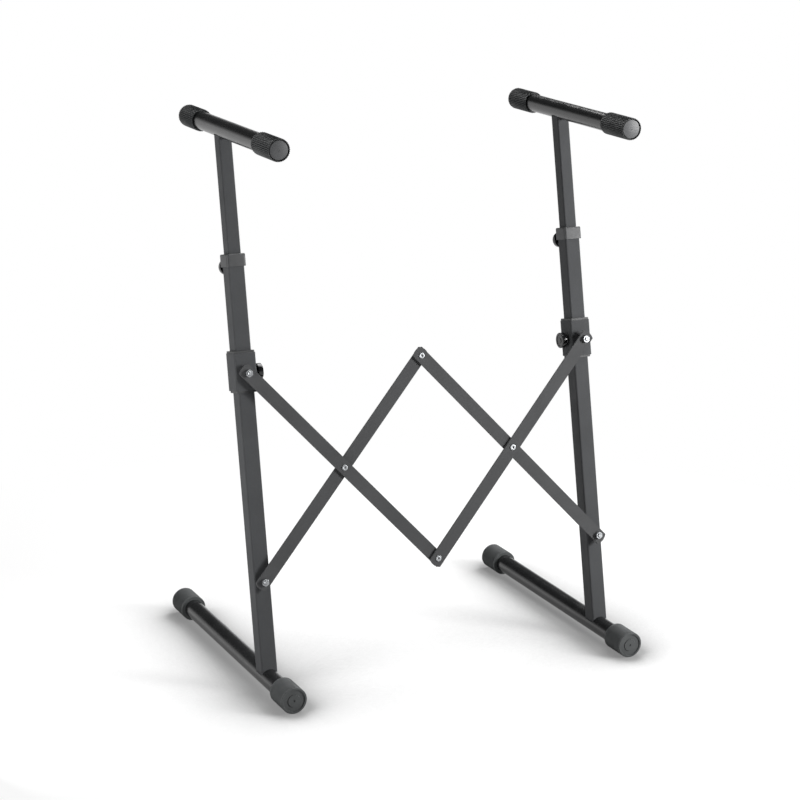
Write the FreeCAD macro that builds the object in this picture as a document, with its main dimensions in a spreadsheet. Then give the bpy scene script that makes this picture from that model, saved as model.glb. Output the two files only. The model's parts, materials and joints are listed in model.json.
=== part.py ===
"""Folding keyboard stand: two leaning legs on round feet, joined by a scissor lattice of flat bars.

Each leg is a square tube that telescopes and carries a round support arm. The two upper ends of
the lattice ride on slider boxes, so that the legs move together as the lattice folds.

Millimetres, +Z up, +X from the left leg to the right leg, -Y to the front.
The origin is on the floor, midway between the four foot caps.
"""
import FreeCAD, Part
import math
import os
import re
import Sketcher

SHEET = "Sizes"

# Driving sizes: name, value, what it measures. They fill the spreadsheet.
SIZES = [
    ("leg_spacing", 555, "between the two uprights' centre lines, as set up"),
    ("lean_angle", 12.1, "uprights lean back by this many degrees"),
    ("foot_length", 459, "overall, over both foot caps"),
    ("foot_ahead", 103.4, "foot in front of the upright's centre line, cap included"),
    ("foot_tube_diameter", 28.6, "round tube under each upright"),
    ("tube_wall", 1.5, "wall of every steel tube"),
    ("foot_cap_diameter", 39.6, "stands on the floor"),
    ("foot_cap_length", 45, "overall, end face included"),
    ("foot_cap_end", 5, "thickness of the closed end"),
    ("foot_cap_edge", 0.8, "bevel on the cap's two edges"),
    ("foot_cap_rim", 3, "width of the raised rim on the end face"),
    ("foot_cap_disc_diameter", 18, "raised disc in the middle of the end face"),
    ("foot_cap_recess", 0.8, "depth of the ring between rim and disc"),
    ("foot_cap_gate_diameter", 3.6, "moulding mark in the disc"),
    ("lower_tube_width", 25, "square tube"),
    ("lower_tube_corner", 2.5, "outer corner radius"),
    ("upper_tube_width", 20, "square tube"),
    ("upper_tube_corner", 2.2, "outer corner radius"),
    ("arm_height", 801.6, "along the upright, from foot axis to arm axis"),
    ("tube_overlap", 283, "length of upper tube inside the lower one, collar included"),
    ("arm_tube_diameter", 27, "round tube on top of each upright"),
    ("arm_ahead", 217.7, "arm in front of the upright's centre line"),
    ("arm_behind", 139.3, "arm behind the upright's centre line"),
    ("grip_diameter", 33, "over the rubber sleeve"),
    ("front_grip_length", 65, "sleeve at the arm's front end"),
    ("rear_grip_length", 57, "sleeve at the arm's rear end"),
    ("grip_edge", 0.6, "bevel on the sleeve's edges"),
    ("grip_lip", 1.1, "thickness of the sleeve where its mouth is opened out"),
    ("grip_mouth", 2.2, "depth of the opened mouth at the inner end"),
    ("grip_cup", 3.6, "depth of the opened mouth round the end plug"),
    ("plug_head", 2.6, "thickness of the end plug's head at its edge"),
    ("plug_dome", 1.1, "rise of the head in the middle"),
    ("plug_spigot", 12, "length of plug inside the tube"),
    ("collar_bottom", 601.9, "along the upright, level with the height lock screw"),
    ("collar_height", 18.5, "along the upright, top included"),
    ("collar_width", 30, "square sleeve, over its flats"),
    ("collar_corner", 4, "outer corner radius"),
    ("collar_top", 3, "thickness over the tube's mouth"),
    ("collar_edge", 1.2, "bevel round the top"),
    ("collar_skirt", 8.5, "length of the liner between the two tubes"),
    ("slide_clearance", 0.3, "each side, between sliding square faces"),
    ("guide_head", 12, "guide bush below the upper tube's end"),
    ("guide_plug", 16, "guide bush inside the upper tube"),
    ("guide_wall", 2.4, "wall of the guide bush"),
    ("lower_pivot", 141.4, "lattice pivot on the lower tube, along the upright"),
    ("bar_reach", 412.8, "between the two end pivots of a bar"),
    ("bar_width", 20, "flat bar of the lattice"),
    ("bar_thickness", 3, "flat bar of the lattice"),
    ("bar_end", 12, "bar beyond its end pivots"),
    ("bar_end_radius", 17, "arc across the bar's end"),
    ("bar_gap", 1.3, "from the slider's front face to the first bar"),
    ("washer_thickness", 0.9, "between two bars"),
    ("washer_diameter", 14, "round its rivet"),
    ("layer_clearance", 0.1, "between faces that turn on each other"),
    ("slider_width", 34, "square box"),
    ("slider_corner", 3, "outer corner radius"),
    ("slider_wall", 2, "steel box that rides on the lower tube"),
    ("slider_length", 55, "steel box along the upright"),
    ("slider_pivot_drop", 2.2, "pivot below the middle of the box"),
    ("liner_lip", 3, "liner proud of the box at both ends"),
    ("liner_top_inset", 1, "upper lip inside the box's outline"),
    ("screw_diameter", 6, "pivot bolts and lock studs"),
    ("running_clearance", 0.05, "radial, round a pin that turns"),
    ("loose_clearance", 0.25, "radial, round the rivet that closes the linkage"),
    ("bolt_head_width", 10, "across flats"),
    ("bolt_head_height", 4, "behind the lower tube"),
    ("bolt_proud", 1.8, "bolt end beyond its nut"),
    ("bolt_end_bevel", 1, "round the bolt's tip"),
    ("clinch_head_diameter", 10, "flat head inside the slider's front wall"),
    ("clinch_head_height", 1.2, "let into the liner"),
    ("nut_width", 10, "across flats"),
    ("nut_height", 5, "pivot nut along its bolt"),
    ("nut_bevel", 0.6, "bevel of the nut's corners, past the flats"),
    ("nut_bevel_angle", 28, "degrees, from the nut's face"),
    ("spacer_diameter", 12, "between a bar and what carries it"),
    ("weld_nut_width", 12, "across flats"),
    ("weld_nut_height", 4.5, "lock nut along its stud"),
    ("weld_nut_notch", 0.8, "free space round the nut in the collar's notch"),
    ("knob_diameter", 24, "over its rim"),
    ("knob_height", 7.5, "from rim to face"),
    ("knob_edge", 1.2, "bevel round the face"),
    ("knob_wall", 1.8, "rim round the hollow underside"),
    ("knob_hollow", 5, "depth of the hollow"),
    ("knob_hub_diameter", 10, "round the stud, as deep as the rim"),
    ("knob_recess_outer", 17, "diameter of the sunk ring in the face"),
    ("knob_recess_inner", 8, "diameter of the boss inside the ring"),
    ("knob_recess_depth", 0.9, "of the sunk ring"),
    ("stud_seat", 5, "stud inside the knob"),
    ("stud_bevel", 0.7, "round the stud's tip"),
    ("stud_gap", 0.05, "between a lock stud's tip and the tube it presses"),
    ("height_knob_standoff", 11, "knob's rim behind the lower tube"),
    ("slider_knob_standoff", 4.8, "knob's rim beside the slider"),
    ("rivet_diameter", 5, "shank"),
    ("rivet_bore", 3, "tubular rivet"),
    ("rivet_flange_diameter", 9, "flange and rolled end"),
    ("rivet_flange", 1.2, "thickness of the flange and of the rolled end"),
    ("rivet_bevel", 0.5, "round the flange and the rolled end"),
]

# Lengths and places that follow from the driving sizes.
DERIVED = {
    "half_spacing": "leg_spacing / 2",
    "upright_back": "foot_ahead - foot_length / 2",
    "foot_axis": "foot_cap_diameter / 2",
    "arm_back": "upright_back + arm_height * sin(lean_angle)",
    "arm_axis": "foot_axis + arm_height * cos(lean_angle)",
    "height_lock": "collar_bottom",
    "collar_ceiling": "collar_bottom + collar_height - collar_top",
    "upper_tube_end": "collar_ceiling - tube_overlap",
    "bar_angle": "acos(half_spacing / bar_reach)",
    "upper_pivot": "lower_pivot + bar_reach * sin(bar_angle)",
    "slider_bottom": "upper_pivot + slider_pivot_drop - slider_length / 2",
    "first_layer": "slider_width / 2 + bar_gap",
    "layer_pitch": "bar_thickness + washer_thickness + layer_clearance",
    "lower_tube_inside": "lower_tube_width - 2 * tube_wall",
    "upper_tube_inside": "upper_tube_width - 2 * tube_wall",
    "slider_inside": "slider_width - 2 * slider_wall",
    "upper_tube_bore": "upper_tube_width + 2 * slide_clearance",
    "upper_tube_bore_corner": "upper_tube_corner + slide_clearance",
    "liner_bore": "lower_tube_width + 2 * slide_clearance",
    "screw_hole": "screw_diameter / 2 + running_clearance",
    "rivet_hole": "rivet_diameter / 2 + running_clearance",
    "loose_hole": "rivet_diameter / 2 + loose_clearance",
    "rivet_stack": "2 * bar_thickness + washer_thickness + 2 * layer_clearance",
}

SIDES = {"left": "-half_spacing", "right": "half_spacing"}

# Which way a piece drawn along its own +Z is turned.
UNTURNED = "rotation(vector(0; 0; 1); 0)"
FORWARD = "rotation(vector(1; 0; 0); 90)"
BACKWARD = "rotation(vector(1; 0; 0); -90)"
INWARD = {"left": "rotation(vector(0; 1; 0); 90)", "right": "rotation(vector(0; 1; 0); -90)"}

# Least volume that a cut has to take away, and how near an edge lies to the level it is looked for at.
LEAST_CUT = 0.01
LEVEL_ERROR = 0.01

document = FreeCAD.newDocument("KeyboardStand")
sheet = document.addObject("Spreadsheet::Sheet", SHEET)
pieces = []


def fill_sheet():
    """Write the driving sizes into the sheet, one row each, and name their cells."""
    for row, (name, value, meaning) in enumerate(SIZES, start=1):
        sheet.set(f"A{row}", name)
        sheet.set(f"B{row}", str(value))
        sheet.set(f"C{row}", meaning)
        sheet.setAlias(f"B{row}", name)
    document.recompute()


def formula(text):
    """Turn the names in a formula into cells of the sheet, with derived lengths written out."""
    driving = {name for name, _, _ in SIZES}

    def written_out(match):
        name = match.group()
        if name in DERIVED:
            return "(" + formula(DERIVED[name]) + ")"
        if name in driving:
            return f"{SHEET}.{name}"
        return name

    return re.sub(r"[a-z]\w*", written_out, text)


def bind(item, path, text):
    """Bind a property of a document object to a formula of the sizes."""
    item.setExpression(path, formula(text))


def value(text):
    """Work out a formula now, for the first drawing of a sketch."""
    result = sheet.evalExpression(formula(text))
    return float(getattr(result, "Value", result))


# ---------------------------------------------------------------- places

def placed(x, back, along, turn):
    return f"placement(vector({x}; {back}; {along}); {turn})"


def upright(x):
    """Frame of an upright: +Z up the leaning tube, -Y square out of its front face."""
    lean = "rotation(vector(1; 0; 0); -lean_angle)"
    return placed(x, "upright_back", "foot_axis", lean)


def on_upright(x, back, along, turn=UNTURNED):
    return upright(x) + " * " + placed("0", back, along, turn)


# ---------------------------------------------------------------- sketches

def new_piece(label, placement):
    """A body with its own label and its place in the stand."""
    piece = document.addObject("PartDesign::Body", label)
    piece.Label = label
    bind(piece, "Placement", placement)
    return piece


def new_sketch(piece, role="XY_Plane", height="0", shift="0", tilt="0"):
    """A sketch on one of the body's own planes, moved along its normal and its upright axis."""
    sketch = piece.newObject("Sketcher::SketchObject", piece.Name + "_sketch")
    plane = next(item for item in piece.Origin.OriginFeatures if item.Role == role)
    sketch.AttachmentSupport = [(plane, "")]
    sketch.MapMode = "FlatFace"
    turn = f"rotation(vector(1; 0; 0); {tilt})"
    bind(sketch, "AttachmentOffset", placed("0", shift, height, turn))
    return sketch


def pin_point(sketch, geometry, point, x, y):
    """Hold a sketch point at two formulas, measured from the sketch's origin."""
    if x == "0" and y == "0":
        sketch.addConstraint(Sketcher.Constraint("Coincident", geometry, point, -1, 1))
        return
    for text, kind, axis in ((x, "DistanceX", -2), (y, "DistanceY", -1)):
        if text == "0":
            sketch.addConstraint(Sketcher.Constraint("PointOnObject", geometry, point, axis))
        else:
            rule = Sketcher.Constraint(kind, -1, 1, geometry, point, value(text))
            bind(sketch, f"Constraints[{sketch.addConstraint(rule)}]", text)


def draw_circle(sketch, radius, x="0", y="0"):
    centre = FreeCAD.Vector(value(x), value(y), 0)
    circle = Part.Circle(centre, FreeCAD.Vector(0, 0, 1), value(radius))
    index = sketch.addGeometry(circle, False)
    pin_point(sketch, index, 3, x, y)
    rule = Sketcher.Constraint("Radius", index, value(radius))
    bind(sketch, f"Constraints[{sketch.addConstraint(rule)}]", radius)


def draw_outline(sketch, points):
    """Closed outline of straight edges through points given as pairs of formulas."""
    corners = [FreeCAD.Vector(value(x), value(y), 0) for x, y in points]
    count = len(corners)
    edges = []
    for step in range(count):
        edge = Part.LineSegment(corners[step], corners[(step + 1) % count])
        edges.append(sketch.addGeometry(edge, False))
    for step in range(count):
        following = edges[(step + 1) % count]
        sketch.addConstraint(Sketcher.Constraint("Coincident", edges[step], 2, following, 1))
    for edge, (x, y) in zip(edges, points):
        pin_point(sketch, edge, 1, x, y)


def draw_hexagon(sketch, across_flats):
    corner = f"({across_flats}) / sqrt(3)"
    points = [(f"{corner} * cos({60 * step + 30})", f"{corner} * sin({60 * step + 30})") for step in range(6)]
    draw_outline(sketch, points)


def draw_rounded_square(sketch, width, corner):
    """Square with rounded corners, centred on the sketch's origin."""
    half = value(width) / 2
    radius = value(corner)
    flat = half - radius
    normal = FreeCAD.Vector(0, 0, 1)
    quarter = math.pi / 2
    sides = []
    arcs = []
    for step in range(4):
        turn = FreeCAD.Rotation(normal, 90 * step)
        start = turn.multVec(FreeCAD.Vector(-flat, -half, 0))
        end = turn.multVec(FreeCAD.Vector(flat, -half, 0))
        centre = turn.multVec(FreeCAD.Vector(flat, -flat, 0))
        sides.append(sketch.addGeometry(Part.LineSegment(start, end), False))
        circle = Part.Circle(centre, normal, radius)
        arc = Part.ArcOfCircle(circle, quarter * (step - 1), quarter * step)
        arcs.append(sketch.addGeometry(arc, False))
    for step in range(4):
        following = sides[(step + 1) % 4]
        sketch.addConstraint(Sketcher.Constraint("Tangent", sides[step], 2, arcs[step], 1))
        sketch.addConstraint(Sketcher.Constraint("Tangent", arcs[step], 2, following, 1))
    for step, direction in enumerate(("Horizontal", "Vertical", "Horizontal", "Vertical")):
        sketch.addConstraint(Sketcher.Constraint(direction, sides[step]))
    for arc in arcs[1:]:
        sketch.addConstraint(Sketcher.Constraint("Equal", arcs[0], arc))
    sketch.addConstraint(Sketcher.Constraint("Symmetric", arcs[0], 3, arcs[2], 3, -1, 1))
    rules = [
        (Sketcher.Constraint("Radius", arcs[0], radius), corner),
        (Sketcher.Constraint("DistanceX", sides[3], 1, sides[1], 1, 2 * half), width),
        (Sketcher.Constraint("DistanceY", sides[0], 1, sides[2], 1, 2 * half), width),
    ]
    for rule, text in rules:
        bind(sketch, f"Constraints[{sketch.addConstraint(rule)}]", text)


# ---------------------------------------------------------------- features

def pad(piece, sketch, length, downward=False):
    feature = piece.newObject("PartDesign::Pad", piece.Name + "_pad")
    feature.Profile = sketch
    feature.Reversed = downward
    bind(feature, "Length", length)
    return feature


def revolve(piece, sketch):
    """Turn a half section, drawn in the XZ plane, about the piece's own Z axis."""
    feature = piece.newObject("PartDesign::Revolution", piece.Name + "_revolution")
    feature.Profile = sketch
    feature.ReferenceAxis = (sketch, ["V_Axis"])
    feature.Angle = 360
    return feature


def cut(piece, sketch, length, both_ways=False, forward=False):
    """Pocket a sketch; by default into the side that the sketch's normal points away from."""
    before = volume_now(piece)
    feature = piece.newObject("PartDesign::Pocket", piece.Name + "_pocket")
    feature.Profile = sketch
    feature.Reversed = forward
    if both_ways:
        feature.SideType = "Symmetric"
    bind(feature, "Length", length)
    if volume_now(piece) > before - LEAST_CUT:
        raise RuntimeError(f"{feature.Name} removes nothing from {piece.Label}")
    return feature


def groove(piece, sketch):
    """Turn a half section about the piece's own Z axis and take it away."""
    before = volume_now(piece)
    feature = piece.newObject("PartDesign::Groove", piece.Name + "_groove")
    feature.Profile = sketch
    feature.ReferenceAxis = (sketch, ["V_Axis"])
    feature.Angle = 360
    if volume_now(piece) > before - LEAST_CUT:
        raise RuntimeError(f"{feature.Name} removes nothing from {piece.Label}")
    return feature


def volume_now(piece):
    document.recompute()
    return piece.Shape.Volume


def finish(piece):
    """Keep a sub-part for the hand-over."""
    pieces.append(piece)
    return piece


# ---------------------------------------------------------------- pieces of general use

def ring(label, placement, outer, inner, length):
    """A straight round tube, washer or spacer."""
    piece = new_piece(label, placement)
    sketch = new_sketch(piece)
    draw_circle(sketch, outer)
    draw_circle(sketch, inner)
    pad(piece, sketch, length)
    return piece


def square_tube(label, placement, width, corner, wall, start, length):
    piece = new_piece(label, placement)
    sketch = new_sketch(piece, height=start)
    draw_rounded_square(sketch, width, corner)
    draw_rounded_square(sketch, f"{width} - 2 * {wall}", f"{corner} - {wall}")
    pad(piece, sketch, length)
    return piece


def turned(label, placement, half_section):
    piece = new_piece(label, placement)
    sketch = new_sketch(piece, "XZ_Plane")
    draw_outline(sketch, half_section)
    revolve(piece, sketch)
    return piece


def saddle(piece, diameter, along):
    """Cope the end of a leaning tube to the level round tube that it is welded to."""
    sketch = new_sketch(piece, "XZ_Plane", shift=along, tilt="lean_angle")
    draw_circle(sketch, f"{diameter} / 2")
    cut(piece, sketch, f"4 * {diameter}", both_ways=True)


# ---------------------------------------------------------------- feet

def foot_tube(side):
    back_end = "foot_length / 2 - foot_cap_end"
    place = placed(SIDES[side], back_end, "foot_axis", FORWARD)
    radius = "foot_tube_diameter / 2"
    length = "foot_length - 2 * foot_cap_end"
    finish(ring(f"{side}_foot_tube", place, radius, f"{radius} - tube_wall", length))


def foot_cap(side, end):
    """Rubber cup over the end of the foot tube, closed towards its own +Z."""
    if end == "front":
        place = placed(SIDES[side], "foot_cap_length - foot_length / 2", "foot_axis", FORWARD)
    else:
        place = placed(SIDES[side], "foot_length / 2 - foot_cap_length", "foot_axis", BACKWARD)
    outer = "foot_cap_diameter / 2"
    bore = "foot_tube_diameter / 2"
    top = "foot_cap_length"
    floor = f"{top} - foot_cap_recess"
    rim = f"{outer} - foot_cap_rim"
    disc = "foot_cap_disc_diameter / 2"
    gate = "foot_cap_gate_diameter / 2"
    finish(turned(f"{side}_foot_cap_{end}", place, [
        (bore, "0"),
        (f"{outer} - foot_cap_edge", "0"),
        (outer, "foot_cap_edge"),
        (outer, f"{top} - foot_cap_edge"),
        (f"{outer} - foot_cap_edge", top),
        (rim, top),
        (rim, floor),
        (disc, floor),
        (disc, top),
        (gate, top),
        (gate, floor),
        ("0", floor),
        ("0", f"{top} - foot_cap_end"),
        (bore, f"{top} - foot_cap_end"),
    ]))


# ---------------------------------------------------------------- uprights

def lower_tube(side):
    piece = square_tube(f"{side}_lower_tube", upright(SIDES[side]), "lower_tube_width",
                        "lower_tube_corner", "tube_wall", "0", "collar_ceiling")
    saddle(piece, "foot_tube_diameter", "0")
    pivot = new_sketch(piece, "XZ_Plane", shift="lower_pivot")
    draw_circle(pivot, "screw_hole")
    cut(piece, pivot, "2 * lower_tube_width", both_ways=True)
    lock = new_sketch(piece, "XZ_Plane", shift="height_lock")
    draw_circle(lock, "screw_hole")
    cut(piece, lock, "lower_tube_width")
    finish(piece)


def collar(side):
    """Plastic sleeve over the lower tube's mouth, with a skirt between the two tubes."""
    piece = new_piece(f"{side}_collar", upright(SIDES[side]))
    sleeve = new_sketch(piece, height="collar_bottom")
    draw_rounded_square(sleeve, "collar_width", "collar_corner")
    draw_rounded_square(sleeve, "lower_tube_width", "lower_tube_corner")
    pad(piece, sleeve, "collar_height - collar_top")
    roof = new_sketch(piece, height="collar_ceiling")
    draw_rounded_square(roof, "collar_width", "collar_corner")
    draw_rounded_square(roof, "upper_tube_bore", "upper_tube_bore_corner")
    pad(piece, roof, "collar_top")
    skirt = new_sketch(piece, height="collar_ceiling")
    draw_rounded_square(skirt, "lower_tube_inside", "lower_tube_corner - tube_wall")
    draw_rounded_square(skirt, "upper_tube_bore", "upper_tube_bore_corner")
    pad(piece, skirt, "collar_skirt", downward=True)
    document.recompute()
    sharp = piece.Tip
    bevel = piece.newObject("PartDesign::Chamfer", piece.Name + "_bevel")
    bevel.Base = (sharp, outer_edges(sharp.Shape, "collar_bottom + collar_height", "collar_width"))
    bind(bevel, "Size", "collar_edge")
    notch = new_sketch(piece, "XZ_Plane", shift="height_lock")
    half = "(weld_nut_width / sqrt(3) + weld_nut_notch)"
    below = "-collar_edge"
    draw_outline(notch, [(f"-{half}", below), (half, below), (half, half), (f"-{half}", half)])
    behind = "-lower_tube_width / 2 + slide_clearance"
    bind(notch, "AttachmentOffset", placed("0", "height_lock", behind, UNTURNED))
    cut(piece, notch, "collar_width / 2")
    finish(piece)


def outer_edges(shape, height, width):
    """Names of a square piece's outer edges that lie flat at one height."""
    level = value(height)
    reach = value(width) / 2
    names = []
    for number, edge in enumerate(shape.Edges, start=1):
        box = edge.BoundBox
        flat = abs(box.ZMin - level) < LEVEL_ERROR and abs(box.ZMax - level) < LEVEL_ERROR
        outside = max(abs(box.XMin), abs(box.XMax), abs(box.YMin), abs(box.YMax)) > reach - LEVEL_ERROR
        if flat and outside:
            names.append(f"Edge{number}")
    return names


def upper_tube(side):
    piece = square_tube(f"{side}_upper_tube", upright(SIDES[side]), "upper_tube_width",
                        "upper_tube_corner", "tube_wall", "upper_tube_end", "arm_height - upper_tube_end")
    saddle(piece, "arm_tube_diameter", "arm_height")
    finish(piece)


def upper_guide(side):
    """Bush pressed into the upper tube's end, running inside the lower tube."""
    piece = new_piece(f"{side}_upper_guide", on_upright(SIDES[side], "0", "upper_tube_end"))
    head = new_sketch(piece)
    inside = "upper_tube_inside"
    corner = "upper_tube_corner - tube_wall"
    draw_rounded_square(head, "lower_tube_inside - 2 * slide_clearance", "lower_tube_corner - tube_wall")
    draw_circle(head, f"{inside} / 2 - guide_wall")
    pad(piece, head, "guide_head", downward=True)
    plug = new_sketch(piece)
    draw_rounded_square(plug, inside, corner)
    draw_circle(plug, f"{inside} / 2 - guide_wall")
    pad(piece, plug, "guide_plug")
    finish(piece)


# ---------------------------------------------------------------- support arms

def arm_end(side, end, inboard):
    """Place at a given length inside one end of the arm, with +Z pointing out of that end."""
    if end == "front":
        return placed(SIDES[side], f"arm_back - arm_ahead + ({inboard})", "arm_axis", FORWARD)
    return placed(SIDES[side], f"arm_back + arm_behind - ({inboard})", "arm_axis", BACKWARD)


def arm_tube(side):
    place = arm_end(side, "front", "arm_ahead + arm_behind - plug_head - plug_dome")
    radius = "arm_tube_diameter / 2"
    length = "arm_ahead + arm_behind - 2 * (plug_head + plug_dome)"
    finish(ring(f"{side}_arm_tube", place, radius, f"{radius} - tube_wall", length))


def arm_grip(side, end):
    """Rubber sleeve, open at both ends, whose mouths stand off the arm."""
    length = f"{end}_grip_length"
    outer = "grip_diameter / 2"
    bore = "arm_tube_diameter / 2"
    mouth = f"{outer} - grip_lip"
    finish(turned(f"{side}_arm_grip_{end}", arm_end(side, end, length), [
        (bore, "grip_mouth"),
        (mouth, "grip_mouth"),
        (mouth, "0"),
        (f"{outer} - grip_edge", "0"),
        (outer, "grip_edge"),
        (outer, f"{length} - grip_edge"),
        (f"{outer} - grip_edge", length),
        (mouth, length),
        (mouth, f"{length} - grip_cup"),
        (bore, f"{length} - grip_cup"),
    ]))


def arm_plug(side, end):
    """Domed end plug with a spigot in the tube."""
    place = arm_end(side, end, "plug_head + plug_dome")
    piece = new_piece(f"{side}_{end}_plug", place)
    sketch = new_sketch(piece, "XZ_Plane")
    radius = value("arm_tube_diameter / 2")
    edge = value("plug_head")
    top = value("plug_head + plug_dome")
    sphere = (radius ** 2 + (top - edge) ** 2) / (2 * (top - edge))
    middle = FreeCAD.Vector(0, top - sphere, 0)
    start = math.acos(radius / sphere)
    circle = Part.Circle(middle, FreeCAD.Vector(0, 0, 1), sphere)
    arc = sketch.addGeometry(Part.ArcOfCircle(circle, start, math.pi / 2), False)
    spigot = "arm_tube_diameter / 2 - tube_wall"
    corners = [
        ("0", "plug_head + plug_dome"),
        ("0", "-plug_spigot"),
        (spigot, "-plug_spigot"),
        (spigot, "0"),
        ("arm_tube_diameter / 2", "0"),
        ("arm_tube_diameter / 2", "plug_head"),
    ]
    points = [FreeCAD.Vector(value(x), value(y), 0) for x, y in corners]
    edges = [sketch.addGeometry(Part.LineSegment(a, b), False) for a, b in zip(points, points[1:])]
    for first, second in zip(edges, edges[1:]):
        sketch.addConstraint(Sketcher.Constraint("Coincident", first, 2, second, 1))
    for line, (x, y) in zip(edges, corners):
        pin_point(sketch, line, 1, x, y)
    pin_point(sketch, edges[-1], 2, *corners[-1])
    sketch.addConstraint(Sketcher.Constraint("Coincident", arc, 1, edges[-1], 2))
    sketch.addConstraint(Sketcher.Constraint("Coincident", arc, 2, edges[0], 1))
    sketch.addConstraint(Sketcher.Constraint("PointOnObject", arc, 3, -2))
    revolve(piece, sketch)
    return piece


def group(label, members):
    """Identical small pieces that stay separate solids but share one node."""
    compound = document.addObject("Part::Compound", label)
    compound.Label = label
    compound.Links = members
    finish(compound)


# ---------------------------------------------------------------- sliders

def slider_box(side):
    piece = square_tube(f"{side}_slider_box", upright(SIDES[side]), "slider_width",
                        "slider_corner", "slider_wall", "slider_bottom", "slider_length")
    pivot = new_sketch(piece, "XZ_Plane", shift="upper_pivot")
    draw_circle(pivot, "screw_diameter / 2")
    cut(piece, pivot, "slider_width", forward=True)
    lock = new_sketch(piece, "YZ_Plane", shift="upper_pivot")
    draw_circle(lock, "screw_hole")
    cut(piece, lock, "slider_width", forward=side == "left")
    finish(piece)


def slider_liner(side):
    """Plastic sleeve between slider and tube; its lips cover the box's two ends."""
    piece = new_piece(f"{side}_slider_liner", upright(SIDES[side]))
    bore_corner = "lower_tube_corner + slide_clearance"
    sleeve = new_sketch(piece, height="slider_bottom - liner_lip")
    draw_rounded_square(sleeve, "slider_inside", "slider_corner - slider_wall")
    draw_rounded_square(sleeve, "liner_bore", bore_corner)
    pad(piece, sleeve, "slider_length + liner_lip")
    lip = new_sketch(piece, height="slider_bottom + slider_length")
    draw_rounded_square(lip, "slider_width - 2 * liner_top_inset", "slider_corner - liner_top_inset")
    draw_rounded_square(lip, "liner_bore", bore_corner)
    pad(piece, lip, "liner_lip")
    head = new_sketch(piece, "XZ_Plane", shift="upper_pivot")
    draw_circle(head, "clinch_head_diameter / 2 + slide_clearance")
    cut(piece, head, "slider_width", forward=True)
    lock = new_sketch(piece, "YZ_Plane", shift="upper_pivot")
    draw_circle(lock, "screw_hole + slide_clearance")
    cut(piece, lock, "slider_width", forward=side == "left")
    finish(piece)


# ---------------------------------------------------------------- locks

def weld_nut(label, place):
    piece = new_piece(label, place)
    sketch = new_sketch(piece)
    draw_hexagon(sketch, "weld_nut_width")
    draw_circle(sketch, "screw_hole")
    pad(piece, sketch, "weld_nut_height")
    finish(piece)


def knob(label, place):
    """Round knob with a hollow underside, a hub and a sunk ring in its face."""
    outer = "knob_diameter / 2"
    hub = "knob_hub_diameter / 2"
    bore = "screw_hole"
    sunk = "knob_height - knob_recess_depth"
    finish(turned(label, place, [
        (bore, "0"),
        (hub, "0"),
        (hub, "knob_hollow"),
        (f"{outer} - knob_wall", "knob_hollow"),
        (f"{outer} - knob_wall", "0"),
        (outer, "0"),
        (outer, "knob_height - knob_edge"),
        (f"{outer} - knob_edge", "knob_height"),
        ("knob_recess_outer / 2", "knob_height"),
        ("knob_recess_outer / 2", sunk),
        ("knob_recess_inner / 2", sunk),
        ("knob_recess_inner / 2", "knob_height"),
        ("0", "knob_height"),
        ("0", "stud_seat"),
        (bore, "stud_seat"),
    ]))


def stud(label, place, length):
    """Lock screw: bevelled at the tip, seated in its knob at the other end."""
    radius = "screw_diameter / 2"
    finish(turned(label, place, [
        ("0", "0"),
        (f"{radius} - stud_bevel", "0"),
        (radius, "stud_bevel"),
        (radius, length),
        ("0", length),
    ]))


def height_lock(side):
    tube_face = "lower_tube_width / 2"
    tip = "upper_tube_width / 2 + stud_gap"
    rim = f"{tube_face} + height_knob_standoff"
    at = SIDES[side]
    weld_nut(f"{side}_height_nut", on_upright(at, tube_face, "height_lock", BACKWARD))
    stud(f"{side}_height_stud", on_upright(at, tip, "height_lock", BACKWARD), f"{rim} + stud_seat - ({tip})")
    knob(f"{side}_height_knob", on_upright(at, rim, "height_lock", BACKWARD))


def beside_slider(side, out):
    """Place on the slider's inner side, a given length from the upright's centre line."""
    sign = "" if side == "left" else "-"
    return upright(SIDES[side]) + " * " + placed(f"{sign}({out})", "0", "upper_pivot", INWARD[side])


def slider_lock(side):
    tip = "lower_tube_width / 2 + stud_gap"
    rim = "slider_width / 2 + slider_knob_standoff"
    weld_nut(f"{side}_slider_nut", beside_slider(side, "slider_width / 2"))
    stud(f"{side}_slider_stud", beside_slider(side, tip), f"{rim} + stud_seat - ({tip})")
    knob(f"{side}_slider_knob", beside_slider(side, rim))


# ---------------------------------------------------------------- lattice

def layer_back(layer):
    """How far the back face of a bar layer stands in front of the uprights' centre lines."""
    return f"(first_layer + {layer} * layer_pitch)"


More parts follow.
